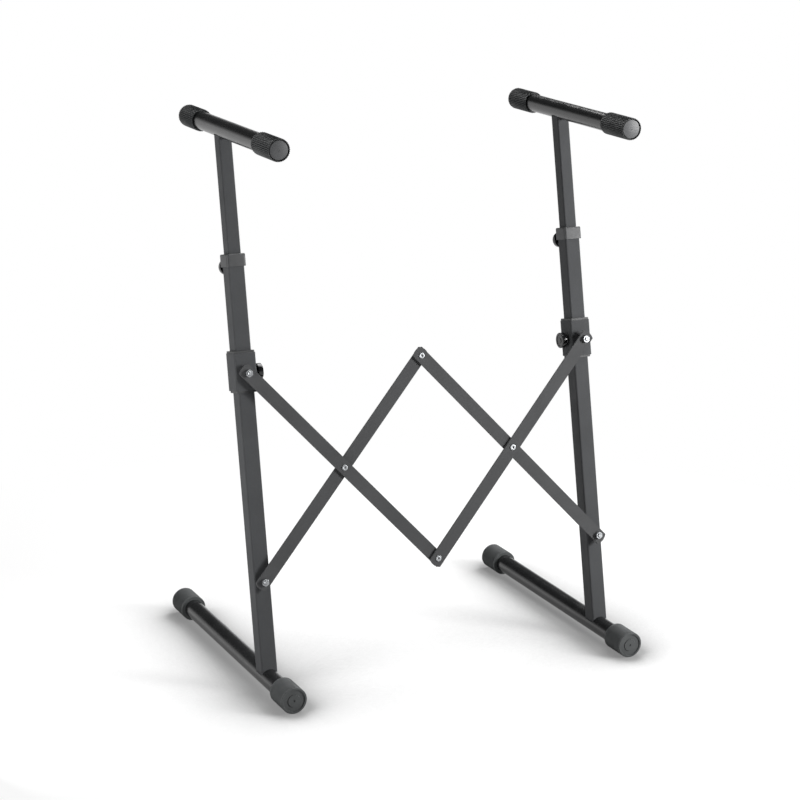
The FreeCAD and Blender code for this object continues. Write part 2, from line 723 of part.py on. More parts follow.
def bar(label, x, layer, turn, inner_hole):
    """Flat bar with arc ends: leg pivot at its -X end, mid rivet, inner rivet at its +X end."""
    frame = upright("0") + " * " + placed(x, f"-{layer_back(layer)}", "(lower_pivot + upper_pivot) / 2", FORWARD)
    piece = new_piece(label, frame + " * " + placed("0", "0", "0", f"rotation(vector(0; 0; 1); {turn})"))
    sketch = new_sketch(piece)
    half = value("bar_width / 2")
    radius = value("bar_end_radius")
    reach = value("bar_reach / 2 + bar_end")
    centre = reach - radius
    corner = centre + (radius ** 2 - half ** 2) ** 0.5
    normal = FreeCAD.Vector(0, 0, 1)
    spread = math.asin(half / radius)
    lower = Part.LineSegment(FreeCAD.Vector(-corner, -half, 0), FreeCAD.Vector(corner, -half, 0))
    upper = Part.LineSegment(FreeCAD.Vector(corner, half, 0), FreeCAD.Vector(-corner, half, 0))
    right = Part.ArcOfCircle(Part.Circle(FreeCAD.Vector(centre, 0, 0), normal, radius), -spread, spread)
    left = Part.ArcOfCircle(Part.Circle(FreeCAD.Vector(-centre, 0, 0), normal, radius),
                            math.pi - spread, math.pi + spread)
    order = [sketch.addGeometry(edge, False) for edge in (lower, right, upper, left)]
    for step, edge in enumerate(order):
        sketch.addConstraint(Sketcher.Constraint("Coincident", edge, 2, order[(step + 1) % 4], 1))
    low, inner_end, high, leg_end = order
    sketch.addConstraint(Sketcher.Constraint("Symmetric", low, 1, high, 2, -1))
    sketch.addConstraint(Sketcher.Constraint("Symmetric", low, 2, high, 1, -1))
    sketch.addConstraint(Sketcher.Constraint("Horizontal", low))
    rules = [
        (Sketcher.Constraint("DistanceY", low, 1, high, 2, 2 * half), "bar_width"),
        (Sketcher.Constraint("Radius", inner_end, radius), "bar_end_radius"),
        (Sketcher.Constraint("Radius", leg_end, radius), "bar_end_radius"),
        (Sketcher.Constraint("DistanceX", -1, 1, inner_end, 3, centre), "bar_reach / 2 + bar_end - bar_end_radius"),
        (Sketcher.Constraint("DistanceX", leg_end, 3, -1, 1, centre), "bar_reach / 2 + bar_end - bar_end_radius"),
    ]
    for rule, text in rules:
        bind(sketch, f"Constraints[{sketch.addConstraint(rule)}]", text)
    draw_circle(sketch, "screw_hole", "-bar_reach / 2")
    draw_circle(sketch, "rivet_hole")
    draw_circle(sketch, inner_hole, "bar_reach / 2")
    pad(piece, sketch, "bar_thickness")
    finish(piece)


def lattice_point(x, along, out):
    """Place on the lattice, midway between the legs' planes, with +Z to the front."""
    return upright("0") + " * " + placed(x, f"-({out})", along, FORWARD)


def rivet(label, x, along, layer):
    """Tubular rivet through two bars, flanged in front and rolled over behind."""
    bore = "rivet_bore / 2"
    shank = "rivet_diameter / 2"
    flange = "rivet_flange_diameter / 2"
    back = "-rivet_flange"
    top = "rivet_stack + rivet_flange"
    place = lattice_point(x, along, f"{layer_back(layer)} - layer_clearance / 2")
    finish(turned(label, place, [
        (bore, back),
        (f"{flange} - rivet_bevel", back),
        (flange, f"{back} + rivet_bevel"),
        (flange, "0"),
        (shank, "0"),
        (shank, "rivet_stack"),
        (flange, "rivet_stack"),
        (flange, f"{top} - rivet_bevel"),
        (f"{flange} - rivet_bevel", top),
        (bore, top),
    ]))


def washer(label, x, along, layer):
    """Washer lying on the front of a bar."""
    place = lattice_point(x, along, f"{layer_back(layer)} + bar_thickness")
    return ring(label, place, "washer_diameter / 2", "rivet_hole", "washer_thickness")


def pivot(side, height, layer):
    """Bolt, spacer and nut that carry one bar end on the lower tube or on the slider."""
    at = SIDES[side]
    front = f"({layer_back(layer)} + bar_thickness + layer_clearance)"
    if height == "lower":
        along, seat, start = "lower_pivot", "lower_tube_width / 2", "-lower_tube_width / 2"
    else:
        along, seat, start = "upper_pivot", "slider_width / 2", "slider_width / 2 - slider_wall"
    label = f"{side}_{height}_pivot"
    shank = f"{front} + nut_height + bolt_proud - ({start})"
    bolt = new_piece(f"{label}_bolt", on_upright(at, f"-({start})", along, FORWARD))
    head = new_sketch(bolt)
    if height == "lower":
        draw_hexagon(head, "bolt_head_width")
        pad(bolt, head, "bolt_head_height", downward=True)
    else:
        draw_circle(head, "clinch_head_diameter / 2")
        pad(bolt, head, "clinch_head_height", downward=True)
    profile = new_sketch(bolt, "XZ_Plane")
    radius = "screw_diameter / 2"
    draw_outline(profile, [
        ("0", "0"),
        (radius, "0"),
        (radius, f"{shank} - bolt_end_bevel"),
        (f"{radius} - bolt_end_bevel", shank),
        ("0", shank),
    ])
    revolve(bolt, profile)
    finish(bolt)
    gap = f"{layer_back(layer)} - layer_clearance - {seat}"
    place = on_upright(at, f"-({seat})", along, FORWARD)
    finish(ring(f"{label}_spacer", place, "spacer_diameter / 2", radius, gap))
    nut = new_piece(f"{label}_nut", on_upright(at, f"-{front}", along, FORWARD))
    sketch = new_sketch(nut)
    draw_hexagon(sketch, "nut_width")
    draw_circle(sketch, radius)
    pad(nut, sketch, "nut_height")
    bevel = new_sketch(nut, "XZ_Plane")
    far = "nut_width / sqrt(3) + nut_bevel"
    draw_outline(bevel, [
        ("nut_width / 2 - nut_bevel / 2", "nut_height"),
        (far, f"nut_height - ({far} - nut_width / 2 + nut_bevel / 2) * tan(nut_bevel_angle)"),
        (far, "nut_height"),
    ])
    groove(nut, bevel)
    finish(nut)


def lattice():
    """Four bars in three layers: each crosses or meets its neighbours one layer apart."""
    quarter = "half_spacing / 2"
    middle = "(lower_pivot + upper_pivot) / 2"
    bar("left_low_bar", f"-{quarter}", 0, "bar_angle", "rivet_hole")
    bar("left_high_bar", f"-{quarter}", 1, "-bar_angle", "loose_hole")
    bar("right_low_bar", quarter, 1, "180 deg - bar_angle", "rivet_hole")
    bar("right_high_bar", quarter, 2, "180 deg + bar_angle", "rivet_hole")
    rivet("top_rivet", "0", "upper_pivot", 0)
    rivet("bottom_rivet", "0", "lower_pivot", 1)
    rivet("left_rivet", f"-{quarter}", middle, 0)
    rivet("right_rivet", quarter, middle, 1)
    group("left_low_bar_washers", [
        washer("left_washer", f"-{quarter}", middle, 0),
        washer("top_washer", "0", "upper_pivot", 0),
    ])
    group("right_high_bar_washers", [
        washer("right_washer", quarter, middle, 1),
        washer("bottom_washer", "0", "lower_pivot", 1),
    ])
    pivot("left", "lower", 0)
    pivot("left", "upper", 1)
    pivot("right", "lower", 1)
    pivot("right", "upper", 2)


# ---------------------------------------------------------------- the stand

def build():
    fill_sheet()
    for side in SIDES:
        foot_tube(side)
        for end in ("front", "rear"):
            foot_cap(side, end)
        lower_tube(side)
        collar(side)
        upper_tube(side)
        upper_guide(side)
        arm_tube(side)
        for end in ("front", "rear"):
            arm_grip(side, end)
        group(f"{side}_arm_plugs", [arm_plug(side, end) for end in ("front", "rear")])
        slider_box(side)
        slider_liner(side)
        height_lock(side)
        slider_lock(side)
    lattice()
    document.recompute()


def check_and_write():
    """Stop on any failed object, then write one STEP file for each sub-part."""
    for item in document.Objects:
        if "Invalid" in item.State or "Error" in item.State:
            raise RuntimeError(f"{item.Name} failed: {item.State}")
    for piece in pieces:
        if piece.Shape.isNull() or not piece.Shape.isValid() or not piece.Shape.Solids:
            raise RuntimeError(f"{piece.Label} has no sound solid")
    os.makedirs("parts", exist_ok=True)
    for piece in pieces:
        piece.Shape.exportStep(f"parts/{piece.Label}.step")
    print(f"{len(pieces)} sub-parts written")


build()
check_and_write()
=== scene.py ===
"""Finishes the folding keyboard stand: paint and rubber, ribbed grips, knurled foot caps, knobs, fasteners
and weld beads, on a plain pale floor.

Lengths are metres. The frame is the stand's own: +Z up, -Y to the front, origin on the floor.
"""
import json
import math

import bmesh
import bpy
from bpy.props import FloatProperty, FloatVectorProperty, IntProperty, PointerProperty
from mathutils import Matrix, Vector


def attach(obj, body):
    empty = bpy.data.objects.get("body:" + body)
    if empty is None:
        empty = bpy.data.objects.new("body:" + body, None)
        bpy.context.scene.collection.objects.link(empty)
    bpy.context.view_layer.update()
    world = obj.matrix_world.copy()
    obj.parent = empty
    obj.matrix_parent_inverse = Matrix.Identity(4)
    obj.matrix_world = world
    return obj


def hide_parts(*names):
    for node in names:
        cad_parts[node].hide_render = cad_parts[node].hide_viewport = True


bl_info = {
    "name": "Folding keyboard stand",
    "version": (1, 0, 0),
    "blender": (4, 5, 0),
    "location": "3D View > Sidebar > Stand",
    "description": "Finishes the folding keyboard stand and sets it on a pale floor",
    "category": "Object",
}

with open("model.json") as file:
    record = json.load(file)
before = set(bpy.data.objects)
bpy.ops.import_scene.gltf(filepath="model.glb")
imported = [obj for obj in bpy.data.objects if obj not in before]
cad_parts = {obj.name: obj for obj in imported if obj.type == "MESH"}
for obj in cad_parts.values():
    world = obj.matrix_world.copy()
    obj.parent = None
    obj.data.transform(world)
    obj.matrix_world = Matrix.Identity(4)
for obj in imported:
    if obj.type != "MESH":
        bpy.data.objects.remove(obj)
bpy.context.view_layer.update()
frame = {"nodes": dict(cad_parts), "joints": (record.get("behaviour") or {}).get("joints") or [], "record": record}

SIDES = ("left", "right")
ENDS = ("front", "rear")
ON_AXIS = 1e-7
MERGE_DISTANCE = 2e-6
FLAT_ANGLE = math.radians(0.5)
ROUND_SEGMENTS = 72
RIVET_SEGMENTS = 48
RIB_FACETS = 8


def joint_axis(name):
    """Direction of a joint of the packed model."""
    joint = next(item for item in frame["joints"] if item["name"] == name)
    return Vector(joint["axis"]).normalized()


UPWARD = joint_axis("left_height")
FORWARD = joint_axis("fold")
OUT_OF_END = {"front": Vector((0, -1, 0)), "rear": Vector((0, 1, 0))}


# ---------------------------------------------------------------- sizes and colours

def length(name, description, default):
    return FloatProperty(name=name, description=description, default=default, min=0, unit="LENGTH",
                         precision=5)


def turn_angle(name, description, degrees):
    return FloatProperty(name=name, description=description, default=math.radians(degrees), subtype="ANGLE")


def share(name, description, default):
    return FloatProperty(name=name, description=description, default=default, min=0, max=1)


def colour(name, description, default):
    return FloatVectorProperty(name=name, description=description, default=default, min=0, max=1,
                               size=3, subtype="COLOR")


class StandFinish(bpy.types.PropertyGroup):
    """Colours of the stand's finishes, as linear values."""
    paint: colour("Paint", "Satin paint of square tubes and sliders", (0.070, 0.072, 0.075))
    bar_paint: colour("Bar paint", "Satin paint of the lattice bars", (0.078, 0.079, 0.081))
    tube_paint: colour("Round tube paint", "Glossy black paint of arms and feet", (0.014, 0.0145, 0.015))
    rubber: colour("Grip rubber", "Ribbed sleeves on the arms", (0.029, 0.031, 0.032))
    cap_rubber: colour("Cap rubber", "Knurled caps on the feet", (0.070, 0.074, 0.075))
    plug: colour("Plug", "Domed plugs in the arms' ends", (0.074, 0.076, 0.079))
    collar: colour("Collar", "Collars where the tubes telescope", (0.046, 0.047, 0.049))
    liner: colour("Liner", "Slider liners and guide bushes", (0.026, 0.027, 0.028))
    knob: colour("Knob", "Glossy knobs and black spacers", (0.008, 0.008, 0.009))
    zinc: colour("Zinc", "Plated nuts, bolts and rivets", (0.34, 0.35, 0.36))


class GripSizes(bpy.types.PropertyGroup):
    """Ribbed rubber sleeves."""
    ribs: IntProperty(name="Ribs", description="Ribs round a sleeve", default=38, min=8)
    rib_depth: length("Rib depth", "Height of a rib over its groove", 0.0012)
    edge: length("Edge", "Bevel of the sleeve's edges", 0.0006)
    mouth_gap: length("Mouth gap", "Free ring between sleeve and arm", 0.0021)
    mouth_depth: length("Mouth depth", "Depth of that ring at the inner end", 0.0022)
    cup_depth: length("Cup depth", "Depth of the ring round the end plug", 0.0036)


class CapSizes(bpy.types.PropertyGroup):
    """Knurled rubber caps on the feet."""
    knurls: IntProperty(name="Knurls", description="Diamonds round a cap", default=60, min=12)
    knurl_rows: IntProperty(name="Knurl rows", description="Rows of diamonds along a cap", default=18, min=4)
    knurl_depth: length("Knurl depth", "Height of a diamond over its grooves", 0.0010)
    band: length("Band", "Plain band at each end of the knurl", 0.0026)
    edge: length("Edge", "Bevel of the cap's edges", 0.0008)
    rim: length("Rim", "Width of the raised rim on the end face", 0.003)
    recess: length("Recess", "Depth of the ring inside the rim", 0.0014)
    disc_radius: length("Disc radius", "Raised disc in the middle of the end face", 0.009)
    gate_radius: length("Gate radius", "Moulding mark in the disc", 0.0018)
    floor: length("Floor", "Thickness of the cap's closed end", 0.005)


class KnobSizes(bpy.types.PropertyGroup):
    """Turned knobs on the lock screws."""
    edge: length("Edge", "Rounding of the rim", 0.0011)
    wall: length("Wall", "Rim round the hollow underside", 0.0018)
    hollow: length("Hollow", "Depth of the underside", 0.005)
    hub_radius: length("Hub radius", "Hub round the stud", 0.005)
    ring_outer: length("Ring outer radius", "Sunk ring in the face", 0.0087)
    ring_inner: length("Ring inner radius", "Boss inside the ring", 0.0042)
    ring_depth: length("Ring depth", "Depth of the sunk ring", 0.0009)
    stud_radius: length("Stud radius", "Hole for the lock stud", 0.00305)
    stud_seat: length("Stud seat", "Depth of the hole for the stud", 0.005)


class FastenerSizes(bpy.types.PropertyGroup):
    """Nuts, rivets and weld beads."""
    thread_radius: length("Thread radius", "Hole of a nut", 0.003)
    rivet_bore: length("Rivet bore", "Radius of a tubular rivet's bore", 0.0015)
    rivet_flange: length("Rivet flange", "Thickness of flange and rolled end", 0.0012)
    rivet_shank: length("Rivet shank", "Radius of the shank", 0.0025)
    bead_radius: length("Bead radius", "Half width of a weld bead", 0.0013)
    bead_ripple: length("Bead ripple", "Spacing of the ripples along a bead", 0.0016)
    edge: length("Softened edge", "Rounding of cut steel edges", 0.00035)


class StudioSizes(bpy.types.PropertyGroup):
    """Camera, lamps and floor."""
    azimuth: turn_angle("Azimuth", "Camera's heading to the right of +Y", 25.317)
    elevation: turn_angle("Elevation", "Camera's angle above the horizon", 15.126)
    roll: turn_angle("Roll", "Camera's turn about its own axis", 0.717)
    distance: length("Distance", "From the camera to the point it looks at", 3.5485)
    target: FloatVectorProperty(name="Target", description="Point the camera looks at",
                                default=(0.0035, 0.0242, 0.3728), subtype="TRANSLATION")
    lens: FloatProperty(name="Lens", description="Focal length in millimetres", default=104.07, min=1)
    floor_radius: length("Floor radius", "Reach of the pale floor", 14)
    shadow_reach: length("Shadow reach", "Floor round the stand that keeps its shadows", 0.55)
    white_reach: length("White reach", "Where the floor has turned into the backdrop", 1.05)
    # The next three settings shape a painted shade: an ambient occlusion node darkens the floor's colour and lift
    # near the stand.
    contact_reach: length("Contact reach", "How far from the stand the floor's soft shade begins", 0.30)
    shade_power: FloatProperty(name="Shade power", description="How fast that shade deepens",
                               default=3.2, min=1)
    shade_limit: share("Shade limit", "Share of the floor's light that the deepest shade keeps", 0.4)
    backdrop_top: turn_angle("Backdrop top", "Angle up to which reflections show a white backdrop", 2)
    ceiling_start: turn_angle("Ceiling start", "Angle above which they show a dim ceiling", 14)
    floor_colour: colour("Floor", "Pale floor", (0.46, 0.46, 0.46))
    surround: colour("Surround", "Light from all round", (0.04, 0.04, 0.04))


SETTINGS = {
    "stand_finish": StandFinish,
    "stand_grips": GripSizes,
    "stand_caps": CapSizes,
    "stand_knobs": KnobSizes,
    "stand_fasteners": FastenerSizes,
    "stand_studio": StudioSizes,
}


# ---------------------------------------------------------------- node trees

def add_node(tree, kind, inputs=None, **settings):
    """Add a node. Inputs are values, or other nodes' output sockets to link."""
    made = tree.nodes.new(kind)
    for name, value in settings.items():
        setattr(made, name, value)
    for name, value in (inputs or {}).items():
        socket = made.inputs[name]
        if isinstance(value, bpy.types.NodeSocket):
            tree.links.new(value, socket)
        else:
            socket.default_value = value
    return made


def maths(tree, operation, *values):
    made = add_node(tree, "ShaderNodeMath", dict(enumerate(values)), operation=operation)
    return made.outputs[0]


def new_geometry_tree(name, sockets):
    """A geometry tree with named inputs, a geometry output and its group input node."""
    tree = bpy.data.node_groups.new(name, "GeometryNodeTree")
    tree.is_modifier = True
    tree.interface.new_socket("Geometry", in_out="INPUT", socket_type="NodeSocketGeometry")
    for label, kind in sockets:
        tree.interface.new_socket(label, in_out="INPUT", socket_type=kind)
    tree.interface.new_socket("Geometry", in_out="OUTPUT", socket_type="NodeSocketGeometry")
    return tree, add_node(tree, "NodeGroupInput")


def close_geometry_tree(tree, geometry, material):
    """End a tree in real geometry with its material set."""
    real = add_node(tree, "GeometryNodeRealizeInstances", {"Geometry": geometry})
    painted = add_node(tree, "GeometryNodeSetMaterial", {"Geometry": real.outputs[0], "Material": material})
    add_node(tree, "NodeGroupOutput", {"Geometry": painted.outputs[0]})


def relief_tree():
    """Ribs or diamonds sunk into a turned surface, where its "relief" attribute is 1.

    Count is how many go round, and Pitch how far apart rows lie along the axis; no pitch gives ribs.
    """
    tree, given = new_geometry_tree("Surface relief", [
        ("Count", "NodeSocketInt"),
        ("Pitch", "NodeSocketFloat"),
        ("Depth", "NodeSocketFloat"),
        ("Material", "NodeSocketMaterial"),
    ])
    position = add_node(tree, "GeometryNodeInputPosition").outputs[0]
    parts = add_node(tree, "ShaderNodeSeparateXYZ", {"Vector": position})
    angle = maths(tree, "ARCTAN2", parts.outputs["Y"], parts.outputs["X"])
    around = maths(tree, "COSINE", maths(tree, "MULTIPLY", angle, given.outputs["Count"]))
    height_angle = maths(tree, "MULTIPLY", parts.outputs["Z"], math.tau)
    turns = maths(tree, "DIVIDE", height_angle, given.outputs["Pitch"])
    wave = maths(tree, "MULTIPLY", around, maths(tree, "COSINE", turns))
    sunk = maths(tree, "MULTIPLY_ADD", wave, -0.5, 0.5)
    where = add_node(tree, "GeometryNodeInputNamedAttribute", {"Name": "relief"}, data_type="FLOAT")
    depth = maths(tree, "MULTIPLY", maths(tree, "MULTIPLY", sunk, given.outputs["Depth"]), where.outputs[0])
    radial = add_node(tree, "ShaderNodeCombineXYZ", {"X": parts.outputs["X"], "Y": parts.outputs["Y"]})
    outward = add_node(tree, "ShaderNodeVectorMath", {0: radial.outputs[0]}, operation="NORMALIZE")
    inward = maths(tree, "MULTIPLY", depth, -1)
    offset = add_node(tree, "ShaderNodeVectorMath", {0: outward.outputs[0], "Scale": inward},
                      operation="SCALE")
    moved = add_node(tree, "GeometryNodeSetPosition",
                     {"Geometry": given.outputs["Geometry"], "Offset": offset.outputs[0]})
    close_geometry_tree(tree, moved.outputs[0], given.outputs["Material"])
    return tree


def fastener_tree():
    """One fastener on every point of a mesh, turned by the given angles."""
    tree, given = new_geometry_tree("Fasteners on points", [
        ("Fastener", "NodeSocketObject"),
        ("Turn", "NodeSocketRotation"),
        ("Material", "NodeSocketMaterial"),
    ])
    source = add_node(tree, "GeometryNodeObjectInfo", {"Object": given.outputs["Fastener"]})
    placed = add_node(tree, "GeometryNodeInstanceOnPoints", {
        "Points": given.outputs["Geometry"],
        "Instance": source.outputs["Geometry"],
        "Rotation": given.outputs["Turn"],
    })
    close_geometry_tree(tree, placed.outputs[0], given.outputs["Material"])
    return tree


STEPS_PER_RIPPLE = 6
RIPPLE_DEPTH = 0.12
END_TAPER = 0.25
BEAD_SIDES = 14


def bead_tree():
    """Rippled weld bead along every edge of a mesh."""
    tree, given = new_geometry_tree("Weld bead", [
        ("Radius", "NodeSocketFloat"),
        ("Ripple", "NodeSocketFloat"),
        ("Material", "NodeSocketMaterial"),
    ])
    path = add_node(tree, "GeometryNodeMeshToCurve", {"Mesh": given.outputs["Geometry"]})
    step = maths(tree, "DIVIDE", given.outputs["Ripple"], STEPS_PER_RIPPLE)
    fine = add_node(tree, "GeometryNodeResampleCurve", {"Curve": path.outputs[0], "Length": step},
                    mode="LENGTH")
    along = add_node(tree, "GeometryNodeSplineParameter")
    distance = maths(tree, "MULTIPLY", along.outputs["Length"], math.tau)
    ripple = maths(tree, "SINE", maths(tree, "DIVIDE", distance, given.outputs["Ripple"]))
    ends = maths(tree, "SINE", maths(tree, "MULTIPLY", along.outputs["Factor"], math.pi))
    taper = maths(tree, "POWER", ends, END_TAPER)
    swell = maths(tree, "MULTIPLY_ADD", ripple, RIPPLE_DEPTH, 1 - RIPPLE_DEPTH)
    section = add_node(tree, "GeometryNodeCurvePrimitiveCircle",
                       {"Resolution": BEAD_SIDES, "Radius": given.outputs["Radius"]})
    bead = add_node(tree, "GeometryNodeCurveToMesh", {
        "Curve": fine.outputs[0],
        "Profile Curve": section.outputs[0],
        "Scale": maths(tree, "MULTIPLY", swell, taper),
        "Fill Caps": True,
    })
    smooth = add_node(tree, "GeometryNodeSetShadeSmooth", {"Geometry": bead.outputs[0], "Shade Smooth": True})
    close_geometry_tree(tree, smooth.outputs[0], given.outputs["Material"])
    return tree


def run_tree(piece, tree, **inputs):
    """Run a geometry tree on a piece and keep the result as its plain mesh."""
    modifier = piece.modifiers.new(tree.name, "NODES")
    modifier.node_group = tree
    for item in tree.interface.items_tree:
        if item.in_out == "INPUT" and item.name in inputs:
            modifier[item.identifier] = inputs[item.name]
    settle(piece)


def settle(piece):
    """Turn a piece with its modifiers into a plain mesh."""
    bpy.context.view_layer.update()
    graph = bpy.context.evaluated_depsgraph_get()
    mesh = bpy.data.meshes.new_from_object(piece.evaluated_get(graph), depsgraph=graph)
    piece.modifiers.clear()
    piece.data = mesh


# ---------------------------------------------------------------- shapes

def seat(node, axis):
    """(place, height, radius) of a node about an axis: its origin is at the low end, +Z along the axis."""
    turn = axis.to_track_quat("Z", "Y").to_matrix()
    points = [turn.transposed() @ vertex.co for vertex in frame["nodes"][node].data.vertices]
    low = [min(point[i] for point in points) for i in range(3)]
    high = [max(point[i] for point in points) for i in range(3)]
    middle = Vector(((low[0] + high[0]) / 2, (low[1] + high[1]) / 2, low[2]))
    place = Matrix.Translation(turn @ middle) @ turn.to_4x4()
    return place, high[2] - low[2], (high[0] - low[0]) / 2


def new_piece(name, shape):
    """Object of the scene from a bmesh, which is freed."""
    mesh = bpy.data.meshes.new(name)
    shape.to_mesh(mesh)
    shape.free()
    piece = bpy.data.objects.new(name, mesh)
    bpy.context.scene.collection.objects.link(piece)
    return piece


def ring_of(shape, radius, height, segments):
    """Vertices of one ring, or the single vertex of a pole."""
    if radius < ON_AXIS:
        return [shape.verts.new((0, 0, height))]
    angles = (math.tau * step / segments for step in range(segments))
    return [shape.verts.new((radius * math.cos(angle), radius * math.sin(angle), height)) for angle in angles]


def bridge(shape, first, second, diagonals=None):
    """Faces between two rings.

    Diagonals is the row's number where quads are split along the diamonds' slopes.
    """
    count = max(len(first), len(second))
    if count == 1:
        return
    for step in range(count):
        following = (step + 1) % count
        if len(first) == 1:
            shape.faces.new((first[0], second[following], second[step]))
        elif len(second) == 1:
            shape.faces.new((first[step], first[following], second[0]))
        elif diagonals is None:
            shape.faces.new((first[step], first[following], second[following], second[step]))
        elif (step + diagonals) % 2:
            shape.faces.new((first[step], first[following], second[following]))
            shape.faces.new((first[step], second[following], second[step]))
        else:
            shape.faces.new((first[step], first[following], second[step]))
            shape.faces.new((first[following], second[following], second[step]))


def lathe(name, outline, segments, relief=None, smooth_angle=math.radians(35)):
    """Closed shape turned about +Z from (radius, height) pairs; the last pair joins the first.

    Relief names a test of (radius, height) for the vertices whose relief attribute is 1.
    """
    shape = bmesh.new()
    layer = shape.verts.layers.float.new("relief")
    rings = [ring_of(shape, radius, height, segments) for radius, height in outline]
    marked = [bool(relief and relief(radius, height)) for radius, height in outline]
    for row, (first, second) in enumerate(zip(rings, rings[1:] + rings[:1])):
        both = marked[row] and marked[(row + 1) % len(rings)]
        bridge(shape, first, second, row if both else None)
        for vertex in first:
            vertex[layer] = float(marked[row])
    bmesh.ops.recalc_face_normals(shape, faces=shape.faces)
    piece = new_piece(name, shape)
    smooth_by_angle(piece, smooth_angle)
    return piece


def smooth_by_angle(piece, angle):
    """Smooth shading with creases where faces meet at more than an angle."""
    shape = bmesh.new()
    shape.from_mesh(piece.data)
    for face in shape.faces:
        face.smooth = True
    for edge in shape.edges:
        edge.smooth = len(edge.link_faces) == 2 and edge.calc_face_angle(0) < angle
    shape.to_mesh(piece.data)
    shape.free()


def round_edges(piece, width, steps=2, angle=math.radians(40)):
    """Round a piece's sharp edges for good, with its flat faces shaded flat up to them."""
    smooth_by_angle(piece, angle)
    bevel = piece.modifiers.new("Rounded edges", "BEVEL")
    bevel.width = width
    bevel.segments = steps
    bevel.limit_method = "ANGLE"
    bevel.angle_limit = angle
    bevel.harden_normals = True
    settle(piece)


def arc(centre, radius, start, end, steps):
    """Points of an arc in an outline, from one angle to another in degrees."""
    angles = (math.radians(start + (end - start) * step / steps) for step in range(steps + 1))
    return [(centre[0] + radius * math.cos(angle), centre[1] + radius * math.sin(angle)) for angle in angles]


def copy_of(node, name):
    """Merged copy of a node's mesh, with its flat faces whole."""
    shape = bmesh.new()
    shape.from_mesh(frame["nodes"][node].data)
    bmesh.ops.remove_doubles(shape, verts=shape.verts, dist=MERGE_DISTANCE)
    bmesh.ops.dissolve_limit(shape, angle_limit=FLAT_ANGLE, verts=shape.verts, edges=shape.edges)
    return new_piece(name, shape)


def finish_piece(piece, body, material=None, replaced=()):
    """Give a piece its material and its body, and hide the nodes that it stands for."""
    if material is not None:
        piece.data.materials.clear()
        piece.data.materials.append(material)
    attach(piece, body)
    if replaced:
        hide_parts(*replaced)


def put(piece, place):
    """Move a mesh, and not its object, to its place."""
    piece.data.transform(place)
    piece.data.update()


# ---------------------------------------------------------------- materials

def new_material(name):
    material = bpy.data.materials.new(name)
    material.use_nodes = True
    tree = material.node_tree
    tree.nodes.clear()
    shader = add_node(tree, "ShaderNodeBsdfPrincipled")
    add_node(tree, "ShaderNodeOutputMaterial", {"Surface": shader.outputs[0]})
    return material, tree, shader


def noise(tree, scale, detail=3.0, roughness=0.5):
    """Noise of the object's own coordinates; scale is features per metre."""
    where = add_node(tree, "ShaderNodeTexCoord").outputs["Object"]
    made = add_node(tree, "ShaderNodeTexNoise",
                    {"Vector": where, "Scale": scale, "Detail": detail, "Roughness": roughness})
    return made.outputs["Fac"]


def spread(tree, source, low, high):
    """Map noise, which keeps near the middle, to a range of values."""
    made = add_node(tree, "ShaderNodeMapRange",
                    {"Value": source, "From Min": 0.3, "From Max": 0.7, "To Min": low, "To Max": high})
    return made.outputs[0]


def shade(tree, tint, factor):
    """A colour made lighter or darker by a factor."""
    mix = add_node(tree, "ShaderNodeVectorMath", {0: tuple(tint), "Scale": factor}, operation="SCALE")
    return mix.outputs[0]


def bump(tree, shader, source, height, strength=1.0):
    made = add_node(tree, "ShaderNodeBump", {"Height": source, "Distance": height, "Strength": strength})
    tree.links.new(made.outputs[0], shader.inputs["Normal"])


def paint_material(name, tint, gloss, sheen=0.08):
    """Satin powder coat: fine orange peel, cloudy tone and a slightly uneven sheen."""
    material, tree, shader = new_material(name)
    tone = spread(tree, noise(tree, 14, 5), 0.92, 1.08)
    grain = spread(tree, noise(tree, 1500, 2), 0.90, 1.10)
    tree.links.new(shade(tree, tint, maths(tree, "MULTIPLY", tone, grain)), shader.inputs["Base Color"])
    tree.links.new(spread(tree, noise(tree, 40, 4), gloss - 0.04, gloss + 0.05), shader.inputs["Roughness"])
    bump(tree, shader, noise(tree, 750, 2), 0.00003, 0.6)
    shader.inputs["Specular IOR Level"].default_value = sheen
    return material


def rubber_material(name, tint, gloss):
    """Moulded rubber: matt, with a fine grain and a trace of dust."""
    material, tree, shader = new_material(name)
    dust = spread(tree, noise(tree, 60, 6, 0.6), 0.85, 1.18)
    tree.links.new(shade(tree, tint, dust), shader.inputs["Base Color"])
    tree.links.new(spread(tree, noise(tree, 240, 3), gloss - 0.06, gloss + 0.06), shader.inputs["Roughness"])
    bump(tree, shader, noise(tree, 2200, 2), 0.00002, 0.25)
    shader.inputs["Specular IOR Level"].default_value = 0.4
    return material


def plastic_material(name, tint, gloss, grain):
    """Moulded plastic: even colour, faint flow marks and a grain of the given depth."""
    material, tree, shader = new_material(name)
    flow = spread(tree, noise(tree, 90, 2), 0.93, 1.07)
    tree.links.new(shade(tree, tint, flow), shader.inputs["Base Color"])
    tree.links.new(spread(tree, noise(tree, 160, 3), gloss - 0.03, gloss + 0.04), shader.inputs["Roughness"])
    bump(tree, shader, noise(tree, 1300, 2), grain, 0.5)
    return material


def zinc_material(name, tint):
    """Bright zinc plate with a soft cloudiness and fine tool marks."""
    material, tree, shader = new_material(name)
    cloud = spread(tree, noise(tree, 320, 4), 0.90, 1.04)
    tree.links.new(shade(tree, tint, cloud), shader.inputs["Base Color"])
    tree.links.new(spread(tree, noise(tree, 900, 3), 0.30, 0.46), shader.inputs["Roughness"])
    bump(tree, shader, noise(tree, 2600, 2), 0.000012, 0.5)
    shader.inputs["Metallic"].default_value = 1.0
    return material


MATERIALS = {}
ROUND_TUBES = ("_arm_tube", "_foot_tube")


